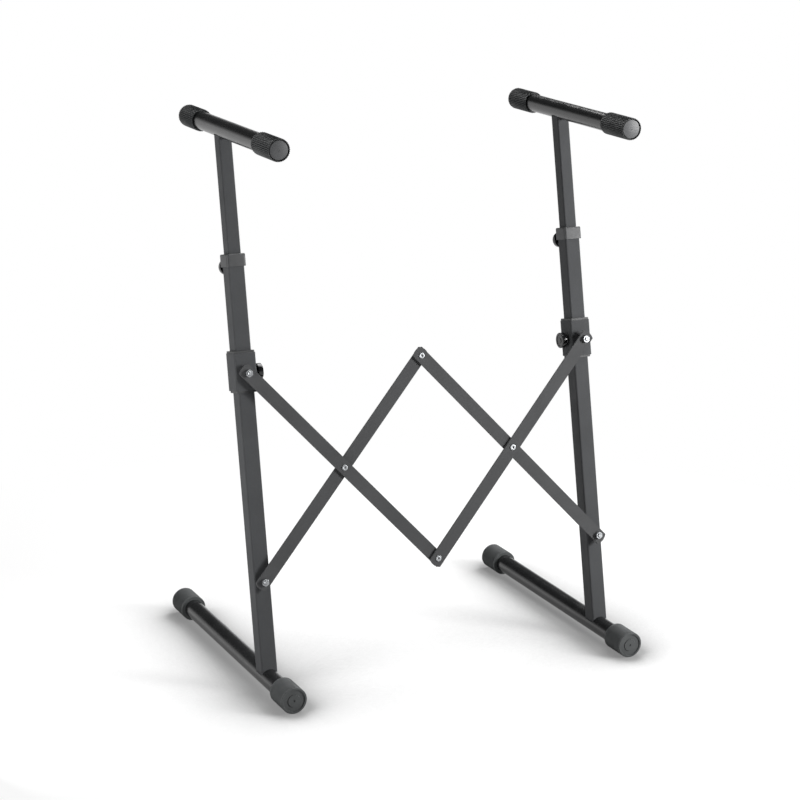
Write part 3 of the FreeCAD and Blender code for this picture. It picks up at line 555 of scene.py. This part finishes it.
def make_materials():
    """Fill the table: a material for each of the record's slots, and one for the round tubes."""
    tints = bpy.context.scene.stand_finish
    MATERIALS.update({
        "frame_paint": paint_material("Frame paint", tints.paint, gloss=0.56),
        "bar_paint": paint_material("Bar paint", tints.bar_paint, gloss=0.56),
        "tube_paint": paint_material("Round tube paint", tints.tube_paint, gloss=0.22, sheen=0.60),
        "grip_rubber": rubber_material("Grip rubber", tints.rubber, gloss=0.55),
        "cap_rubber": rubber_material("Cap rubber", tints.cap_rubber, gloss=0.62),
        "plug_plastic": plastic_material("Plug plastic", tints.plug, gloss=0.45, grain=0.00002),
        "collar_plastic": plastic_material("Collar plastic", tints.collar, gloss=0.50, grain=0.00002),
        "liner_plastic": plastic_material("Liner plastic", tints.liner, gloss=0.50, grain=0.00002),
        "knob_plastic": plastic_material("Knob plastic", tints.knob, gloss=0.16, grain=0.000004),
        "washer_plastic": plastic_material("Washer plastic", tints.knob, gloss=0.45, grain=0.00001),
        "spacer_steel": paint_material("Black spacer steel", tints.knob, gloss=0.45),
        "zinc": zinc_material("Zinc plate", tints.zinc),
    })


# ---------------------------------------------------------------- pieces

class STAND_OT_finishes(bpy.types.Operator):
    """Make the finishes and paint every piece of the packed model"""
    bl_idname = "stand.finishes"
    bl_label = "Finishes"

    def execute(self, context):
        make_materials()
        for row in frame["record"]["subparts"]:
            node = row["node"]
            finish = "tube_paint" if node.endswith(ROUND_TUBES) else row["material_slot"]
            for place in frame["nodes"][node].material_slots:
                place.material = MATERIALS[finish]
        return {"FINISHED"}


def grip(side, end, sizes, tree):
    """Ribbed sleeve with an opened mouth at each end."""
    node = f"{side}_arm_grip_{end}"
    place, reach, outer = seat(node, OUT_OF_END[end])
    bore = seat(f"{side}_arm_tube", OUT_OF_END[end])[2]
    mouth = bore + sizes.mouth_gap
    side_edge = outer - sizes.edge
    outline = [
        (bore, sizes.mouth_depth),
        (mouth, sizes.mouth_depth),
        (mouth, 0),
        (side_edge, 0),
        (outer, sizes.edge),
        (outer, reach - sizes.edge),
        (side_edge, reach),
        (mouth, reach),
        (mouth, reach - sizes.cup_depth),
        (bore, reach - sizes.cup_depth),
    ]
    piece = lathe(f"{node}_ribbed", outline, sizes.ribs * RIB_FACETS,
                  lambda radius, height: radius > mouth + ON_AXIS)
    run_tree(piece, tree, Count=sizes.ribs, Pitch=0.0, Depth=sizes.rib_depth,
             Material=MATERIALS["grip_rubber"])
    smooth_by_angle(piece, math.radians(40))
    put(piece, place)
    finish_piece(piece, f"{side}_upper", replaced=[node])


class STAND_OT_grips(bpy.types.Operator):
    """Ribbed rubber sleeves on both ends of each arm"""
    bl_idname = "stand.grips"
    bl_label = "Ribbed grips"

    def execute(self, context):
        tree = relief_tree()
        for side in SIDES:
            for end in ENDS:
                grip(side, end, context.scene.stand_grips, tree)
        return {"FINISHED"}


def foot_cap(side, end, sizes, tree):
    """Knurled cup with a rim, a disc and a moulding mark on its closed end."""
    node = f"{side}_foot_cap_{end}"
    place, reach, outer = seat(node, OUT_OF_END[end])
    bore = seat(f"{side}_foot_tube", OUT_OF_END[end])[2]
    step = (reach - 2 * sizes.band) / (2 * sizes.knurl_rows)
    first_row = math.ceil(sizes.band / step)
    last_row = math.floor((reach - sizes.band) / step)
    knurl = [(outer, row * step) for row in range(first_row, last_row + 1)]
    sunk = reach - sizes.recess
    outline = [
        (bore, 0),
        (outer - sizes.edge, 0),
        (outer, sizes.edge),
        (outer, knurl[0][1] - step / 4),
        *knurl,
        (outer, knurl[-1][1] + step / 4),
        (outer, reach - sizes.edge),
        (outer - sizes.edge, reach),
        (outer - sizes.rim, reach),
        (outer - sizes.rim - sizes.recess / 2, sunk),
        (sizes.disc_radius + sizes.recess / 2, sunk),
        (sizes.disc_radius, reach - sizes.recess / 4),
        (sizes.gate_radius, reach - sizes.recess / 4),
        (sizes.gate_radius, sunk),
        (0, sunk),
        (0, reach - sizes.floor),
        (bore, reach - sizes.floor),
    ]
    low, high = knurl[0][1], knurl[-1][1]
    piece = lathe(f"{node}_knurled", outline, 2 * sizes.knurls,
                  lambda radius, height: radius > outer - ON_AXIS and low - ON_AXIS < height < high + ON_AXIS,
                  math.radians(30))
    run_tree(piece, tree, Count=sizes.knurls, Pitch=2 * step, Depth=sizes.knurl_depth,
             Material=MATERIALS["cap_rubber"])
    put(piece, place)
    finish_piece(piece, f"{side}_leg", replaced=[node])


class STAND_OT_foot_caps(bpy.types.Operator):
    """Knurled rubber caps on both ends of each foot"""
    bl_idname = "stand.foot_caps"
    bl_label = "Knurled foot caps"

    def execute(self, context):
        tree = relief_tree()
        for side in SIDES:
            for end in ENDS:
                foot_cap(side, end, context.scene.stand_caps, tree)
        return {"FINISHED"}


def knob(side, lock, sizes):
    """Round knob with a rounded rim, a sunk ring in its face and a hollow underside."""
    node = f"{side}_{lock}_knob"
    place, reach, outer = seat(node, joint_axis(f"{side}_{lock}_knob_turn"))
    edge = sizes.edge
    outline = [
        (sizes.stud_radius, 0),
        (sizes.hub_radius, 0),
        (sizes.hub_radius, sizes.hollow),
        (outer - sizes.wall, sizes.hollow),
        (outer - sizes.wall, edge / 3),
        (outer - sizes.wall + edge / 3, 0),
        *arc((outer - edge / 2, edge / 2), edge / 2, -90, 0, 4),
        *arc((outer - edge, reach - edge), edge, 0, 90, 6),
        (sizes.ring_outer + edge / 4, reach),
        (sizes.ring_outer, reach - edge / 4),
        (sizes.ring_outer - edge / 4, reach - sizes.ring_depth),
        (sizes.ring_inner + edge / 4, reach - sizes.ring_depth),
        (sizes.ring_inner, reach - edge / 4),
        (sizes.ring_inner - edge / 4, reach),
        (0, reach),
        (0, sizes.stud_seat),
        (sizes.stud_radius, sizes.stud_seat),
    ]
    piece = lathe(f"{node}_turned", outline, ROUND_SEGMENTS)
    put(piece, place)
    finish_piece(piece, f"{side}_{lock}_knob", MATERIALS["knob_plastic"], [node])


class STAND_OT_knobs(bpy.types.Operator):
    """Turned knobs on the height locks and the slider locks"""
    bl_idname = "stand.knobs"
    bl_label = "Knobs"

    def execute(self, context):
        for side in SIDES:
            for lock in ("height", "slider"):
                knob(side, lock, context.scene.stand_knobs)
        return {"FINISHED"}


def hexagon_radius(across, angle):
    """Distance from the centre of a hexagon to its outline at an angle."""
    sector = math.radians(60)
    return across / 2 / math.cos((angle + sector / 2) % sector - sector / 2)


NUT_FACE_SHARE = 0.97
NUT_CONE = math.tan(math.radians(30))
BORE_CHAMFER = 0.12


def hexagon_nut(name, across, height, bore):
    """Nut whose corners are turned down to a cone at both faces."""
    shape = bmesh.new()
    angles = [math.tau * step / ROUND_SEGMENTS for step in range(ROUND_SEGMENTS)]
    flat = across / 2 * NUT_FACE_SHARE

    def ring(radius_at, height_at):
        made = []
        for angle in angles:
            radius = radius_at(angle)
            place = (radius * math.cos(angle), radius * math.sin(angle), height_at(radius))
            made.append(shape.verts.new(place))
        return made

    def outline(angle):
        return hexagon_radius(across, angle)

    rings = [
        ring(lambda angle: bore, lambda radius: 0),
        ring(lambda angle: flat, lambda radius: 0),
        ring(outline, lambda radius: (radius - flat) * NUT_CONE),
        ring(outline, lambda radius: height - (radius - flat) * NUT_CONE),
        ring(lambda angle: flat, lambda radius: height),
        ring(lambda angle: bore * (1 + BORE_CHAMFER), lambda radius: height),
        ring(lambda angle: bore, lambda radius: height - bore * BORE_CHAMFER),
    ]
    for first, second in zip(rings, rings[1:] + rings[:1]):
        bridge(shape, first, second)
    bmesh.ops.recalc_face_normals(shape, faces=shape.faces)
    piece = new_piece(name, shape)
    smooth_by_angle(piece, math.radians(18))
    return piece


def across_flats(node):
    """Width of a hexagon node over its flats, from its narrower spread."""
    turn = FORWARD.to_track_quat("Z", "Y").to_matrix().transposed()
    points = [turn @ vertex.co for vertex in frame["nodes"][node].data.vertices]
    spreads = [max(point[i] for point in points) - min(point[i] for point in points) for i in range(2)]
    return min(spreads)


def points_mesh(name, places):
    """Object of loose points, for a geometry tree to stand fasteners on."""
    shape = bmesh.new()
    for place in places:
        shape.verts.new(place)
    return new_piece(name, shape)


def stand_on_points(body, nodes, fastener, tree, name):
    """Fasteners of one body in the place of its plain nodes, as one mesh."""
    turn = FORWARD.to_track_quat("Z", "Y").to_euler()
    places = [seat(node, FORWARD)[0].translation for node in nodes]
    piece = points_mesh(name, places)
    run_tree(piece, tree, Fastener=fastener, Turn=turn, Material=MATERIALS["zinc"])
    finish_piece(piece, body, replaced=nodes)


class STAND_OT_nuts(bpy.types.Operator):
    """Zinc nuts on the pivot bolts of legs and sliders"""
    bl_idname = "stand.nuts"
    bl_label = "Pivot nuts"

    def execute(self, context):
        sizes = context.scene.stand_fasteners
        tree = fastener_tree()
        model = "left_lower_pivot_nut"
        thickness = seat(model, FORWARD)[1]
        pattern = hexagon_nut("Nut pattern", across_flats(model), thickness, sizes.thread_radius)
        for side in SIDES:
            for height, body in (("lower", "leg"), ("upper", "slider")):
                node = f"{side}_{height}_pivot_nut"
                stand_on_points(f"{side}_{body}", [node], pattern, tree, f"{node}_turned")
        bpy.data.objects.remove(pattern)
        return {"FINISHED"}


class STAND_OT_rivets(bpy.types.Operator):
    """Tubular rivets with rolled ends, where the bars cross and meet"""
    bl_idname = "stand.rivets"
    bl_label = "Rivets"

    def execute(self, context):
        sizes = context.scene.stand_fasteners
        tree = fastener_tree()
        reach, flange = seat("top_rivet", FORWARD)[1:]
        thick = sizes.rivet_flange
        rolled = thick / 2
        outline = [
            *arc((sizes.rivet_bore + rolled, rolled), rolled, 180, 270, 4),
            *arc((flange - rolled, rolled), rolled, -90, 90, 8),
            (sizes.rivet_shank, thick),
            (sizes.rivet_shank, reach - thick),
            *arc((flange - rolled, reach - rolled), rolled, -90, 90, 8),
            *arc((sizes.rivet_bore + rolled, reach - rolled), rolled, 90, 180, 4),
        ]
        pattern = lathe("Rivet pattern", outline, RIVET_SEGMENTS)
        rows = {
            "left_low_link": ["top_rivet", "left_rivet"],
            "right_low_link": ["right_rivet"],
            "right_high_link": ["bottom_rivet"],
        }
        for body, nodes in rows.items():
            stand_on_points(body, nodes, pattern, tree, f"{body}_rivets")
        bpy.data.objects.remove(pattern)
        return {"FINISHED"}


WELD_SHARE = 0.8


def weld_lines(side, level):
    """Ends of the two welded edges where an upright's sides meet the level round tube."""
    tube = f"{side}_lower_tube" if level == "foot" else f"{side}_upper_tube"
    round_tube = f"{side}_foot_tube" if level == "foot" else f"{side}_arm_tube"
    place, reach, half_width = seat(tube, UPWARD)
    round_place, _, radius = seat(round_tube, OUT_OF_END["front"])
    drop = math.sqrt(radius ** 2 - half_width ** 2)
    level_of_edge = round_place.translation.z + (drop if level == "foot" else -drop)
    foot_of_tube = place.translation
    along = (level_of_edge - foot_of_tube.z) / UPWARD.z
    middle = foot_of_tube + UPWARD * along
    half_length = half_width * WELD_SHARE / UPWARD.z
    lines = []
    for way in (-1, 1):
        x = middle.x + way * half_width
        lines.append(((x, middle.y - half_length, middle.z), (x, middle.y + half_length, middle.z)))
    return lines


class STAND_OT_welds(bpy.types.Operator):
    """Painted weld beads between the uprights and their round tubes"""
    bl_idname = "stand.welds"
    bl_label = "Weld beads"

    def execute(self, context):
        sizes = context.scene.stand_fasteners
        tree = bead_tree()
        for side in SIDES:
            for level, body in (("foot", "leg"), ("arm", "upper")):
                shape = bmesh.new()
                for start, end in weld_lines(side, level):
                    shape.edges.new((shape.verts.new(start), shape.verts.new(end)))
                piece = new_piece(f"{side}_{level}_welds", shape)
                run_tree(piece, tree, Radius=sizes.bead_radius, Ripple=sizes.bead_ripple,
                         Material=MATERIALS["frame_paint"])
                finish_piece(piece, f"{side}_{body}")
        return {"FINISHED"}


class STAND_OT_edges(bpy.types.Operator):
    """Softened edges on the bars, the slider boxes and the collars"""
    bl_idname = "stand.edges"
    bl_label = "Softened edges"

    def execute(self, context):
        width = context.scene.stand_fasteners.edge
        bodies = frame["record"]["behaviour"]["bodies"]
        slots = {row["node"]: row["material_slot"] for row in frame["record"]["subparts"]}
        for body, nodes in bodies.items():
            for node in nodes:
                if node.endswith(("_bar", "_slider_box", "_collar")):
                    piece = copy_of(node, f"{node}_softened")
                    round_edges(piece, width)
                    finish_piece(piece, body, MATERIALS[slots[node]], [node])
        return {"FINISHED"}


# ---------------------------------------------------------------- stage

def backdrop_rays(tree, reflected=1.0):
    """How far a ray sees the white backdrop: 1 for camera rays, a share for glossy and transmission rays."""
    path = add_node(tree, "ShaderNodeLightPath")
    mirrored = maths(tree, "MAXIMUM", path.outputs["Is Glossy Ray"], path.outputs["Is Transmission Ray"])
    return maths(tree, "MAXIMUM", path.outputs["Is Camera Ray"], maths(tree, "MULTIPLY", mirrored, reflected))


def light_world(surround, backdrop_top, ceiling_start):
    """White backdrop to the eye, and in reflections up to a dim ceiling; a dim even light on the stand."""
    world = bpy.data.worlds.new("Studio")
    world.use_nodes = True
    tree = world.node_tree
    tree.nodes.clear()
    light = add_node(tree, "ShaderNodeBackground", {"Color": (*surround, 1), "Strength": 1.0})
    heading = add_node(tree, "ShaderNodeTexCoord").outputs["Generated"]
    rise = add_node(tree, "ShaderNodeSeparateXYZ", {"Vector": heading}).outputs["Z"]
    fall = add_node(tree, "ShaderNodeMapRange", {
        "Value": rise,
        "From Min": math.sin(backdrop_top),
        "From Max": math.sin(ceiling_start),
        "To Min": 1.0,
        "To Max": 0.0,
    })
    white = add_node(tree, "ShaderNodeBackground", {"Color": (1, 1, 1, 1), "Strength": 1.0})
    seen = backdrop_rays(tree, fall.outputs[0])
    mix = add_node(tree, "ShaderNodeMixShader", {0: seen, 1: light.outputs[0], 2: white.outputs[0]})
    add_node(tree, "ShaderNodeOutputWorld", {"Surface": mix.outputs[0]})
    bpy.context.scene.world = world


SHADE_SAMPLES = 24


def floor_material(sizes):
    """Pale floor that keeps the lamps' shadows near the stand, where a painted shade darkens it too, and turns
    into the white backdrop further out.
    """
    material = bpy.data.materials.new("Pale floor")
    material.use_nodes = True
    tree = material.node_tree
    tree.nodes.clear()
    tint = sizes.floor_colour
    # Painted shade: an ambient occlusion node darkens the floor's colour near the stand, on top of the lamps'
    # shadows.
    painted_shade = add_node(tree, "ShaderNodeAmbientOcclusion", {"Distance": sizes.contact_reach}, samples=SHADE_SAMPLES)
    deepened = maths(tree, "POWER", painted_shade.outputs["AO"], sizes.shade_power)
    light_left = maths(tree, "MAXIMUM", deepened, sizes.shade_limit)
    matt = add_node(tree, "ShaderNodeBsdfDiffuse", {"Color": shade(tree, tint, light_left)})
    seen = backdrop_rays(tree)
    # The camera-ray lift is darkened by the same painted shade.
    lifted = maths(tree, "MULTIPLY", maths(tree, "MULTIPLY", seen, light_left), 1 - tint[0])
    lift = add_node(tree, "ShaderNodeEmission", {"Strength": lifted})
    both = add_node(tree, "ShaderNodeAddShader", {0: matt.outputs[0], 1: lift.outputs[0]})
    white = add_node(tree, "ShaderNodeEmission", {"Strength": 1.0})
    where = add_node(tree, "ShaderNodeTexCoord").outputs["Object"]
    away = add_node(tree, "ShaderNodeVectorMath", {0: where}, operation="LENGTH").outputs["Value"]
    turning = add_node(tree, "ShaderNodeMapRange",
                       {"Value": away, "From Min": sizes.shadow_reach, "From Max": sizes.white_reach})
    mix = add_node(tree, "ShaderNodeMixShader", {
        0: maths(tree, "MULTIPLY", turning.outputs[0], seen),
        1: both.outputs[0],
        2: white.outputs[0],
    })
    add_node(tree, "ShaderNodeOutputMaterial", {"Surface": mix.outputs[0]})
    return material


LAMPS = {
    "Overhead softbox": {
        "place": (0.8, 0.8, 2.5),
        "target": (0, 0, 0),
        "width": 2.0,
        "height": 2.0,
        "power": 76,
    },
    "Front right softbox": {
        "place": (1.6, -1.4, 0.9),
        "target": (0, 0, 0.4),
        "width": 0.6,
        "height": 0.9,
        "power": 52,
    },
    "Left strip": {
        "place": (-0.75, -0.2, 0.5),
        "target": (-0.28, -0.05, 0.5),
        "width": 0.2,
        "height": 0.9,
        "power": 3,
    },
}


def soft_lamp(name, place, target, width, height, power):
    """Rectangular lamp that faces its target; power is in watts."""
    lamp = bpy.data.lights.new(name, "AREA")
    lamp.shape = "RECTANGLE"
    lamp.size = width
    lamp.size_y = height
    lamp.energy = power
    holder = bpy.data.objects.new(name, lamp)
    holder.location = place
    holder.rotation_euler = (Vector(target) - Vector(place)).to_track_quat("-Z", "Y").to_euler()
    holder.visible_camera = False
    bpy.context.scene.collection.objects.link(holder)


def place_camera(sizes):
    """Camera at the photograph's angle, turned about its own axis by the roll."""
    ahead = Vector((math.sin(sizes.azimuth) * math.cos(sizes.elevation),
                    math.cos(sizes.azimuth) * math.cos(sizes.elevation), -math.sin(sizes.elevation)))
    level = Vector((math.cos(sizes.azimuth), -math.sin(sizes.azimuth), 0))
    above = level.cross(ahead)
    right = math.cos(sizes.roll) * level + math.sin(sizes.roll) * above
    top = math.cos(sizes.roll) * above - math.sin(sizes.roll) * level
    turn = Matrix((right, top, -ahead)).transposed().to_4x4()
    camera = bpy.data.cameras.new("Camera")
    camera.sensor_width = 36
    camera.lens = sizes.lens
    camera.clip_end = 100
    holder = bpy.data.objects.new("Camera", camera)
    holder.matrix_world = Matrix.Translation(Vector(sizes.target) - ahead * sizes.distance) @ turn
    bpy.context.scene.collection.objects.link(holder)
    bpy.context.scene.camera = holder


class STAND_OT_stage(bpy.types.Operator):
    """Pale floor, soft studio light and the camera"""
    bl_idname = "stand.stage"
    bl_label = "Stage"

    def execute(self, context):
        sizes = context.scene.stand_studio
        shape = bmesh.new()
        bmesh.ops.create_circle(shape, cap_ends=True, segments=96, radius=sizes.floor_radius)
        floor = new_piece("Floor", shape)
        floor.data.materials.append(floor_material(sizes))
        light_world(sizes.surround, sizes.backdrop_top, sizes.ceiling_start)
        for name, lamp in LAMPS.items():
            soft_lamp(name, **lamp)
        place_camera(sizes)
        context.scene.view_settings.view_transform = "Standard"
        return {"FINISHED"}


# ---------------------------------------------------------------- add-on

OPERATORS = (
    STAND_OT_finishes,
    STAND_OT_edges,
    STAND_OT_grips,
    STAND_OT_foot_caps,
    STAND_OT_knobs,
    STAND_OT_nuts,
    STAND_OT_rivets,
    STAND_OT_welds,
    STAND_OT_stage,
)


class STAND_PT_panel(bpy.types.Panel):
    """Pieces and finishes of the keyboard stand"""
    bl_idname = "STAND_PT_panel"
    bl_label = "Keyboard stand"
    bl_space_type = "VIEW_3D"
    bl_region_type = "UI"
    bl_category = "Stand"

    def draw(self, context):
        for operator in OPERATORS:
            self.layout.operator(operator.bl_idname)
        for name, group in SETTINGS.items():
            box = self.layout.box()
            box.label(text=group.__doc__)
            for setting in group.__annotations__:
                box.prop(getattr(context.scene, name), setting)


def register():
    for name, group in SETTINGS.items():
        bpy.utils.register_class(group)
        setattr(bpy.types.Scene, name, PointerProperty(type=group))
    for item in (*OPERATORS, STAND_PT_panel):
        bpy.utils.register_class(item)


def unregister():
    for item in (STAND_PT_panel, *reversed(OPERATORS)):
        bpy.utils.unregister_class(item)
    for name, group in SETTINGS.items():
        delattr(bpy.types.Scene, name)
        bpy.utils.unregister_class(group)


def main():
    register()
    for operator in OPERATORS:
        group, name = operator.bl_idname.split(".")
        getattr(getattr(bpy.ops, group), name)()


if __name__ == "__main__":
    main()
